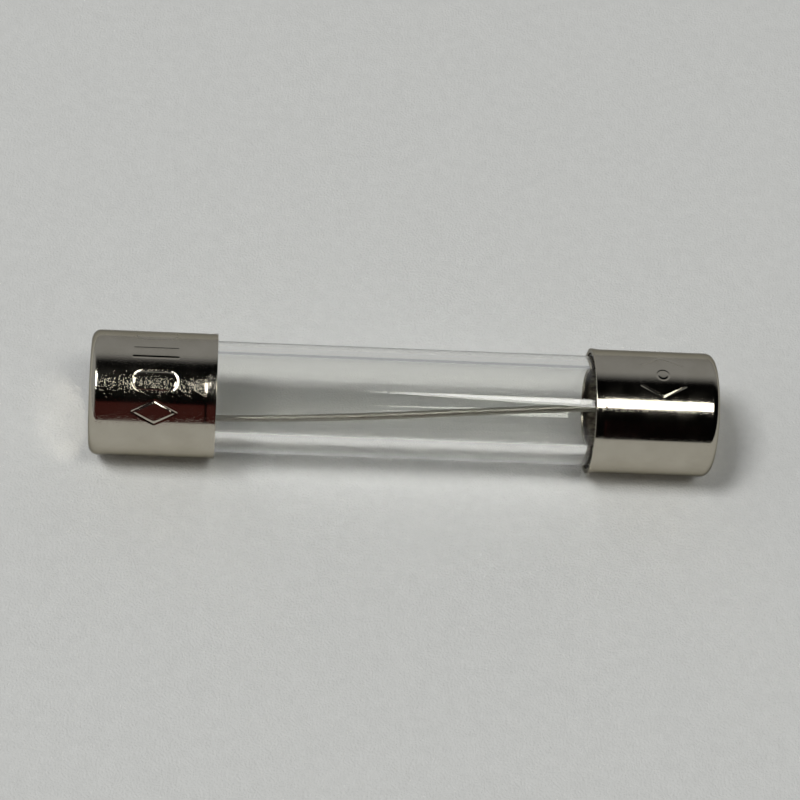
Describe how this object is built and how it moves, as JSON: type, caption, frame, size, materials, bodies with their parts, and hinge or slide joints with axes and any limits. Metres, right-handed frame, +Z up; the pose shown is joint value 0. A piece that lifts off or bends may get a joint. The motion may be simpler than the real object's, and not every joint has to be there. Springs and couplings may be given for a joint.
{
  "type": "cartridge fuse",
  "caption": "Cylindrical glass-tube cartridge fuse with plated metal end caps and a soldered wire element.",
  "frame": {"origin": "centre of the fuse: on the tube's axis, midway between the two end faces", "axes": "+X along the fuse from the left cap to the right cap, +Z up, -Y towards the viewer"},
  "size_m": [0.0318, 0.0064, 0.0064],
  "materials": {
    "glass": "gloss",
    "cap_plating": "polished",
    "wire": "satin",
    "solder": "satin",
    "cement": "satin"
  },
  "bodies": {
    "root": {"glass_tube": "glass", "left_cap": "cap_plating", "right_cap": "cap_plating", "fuse_wire": "wire", "left_solder": "solder", "right_solder": "solder", "left_cement": "cement", "right_cement": "cement"}
  },
  "joints": []
}
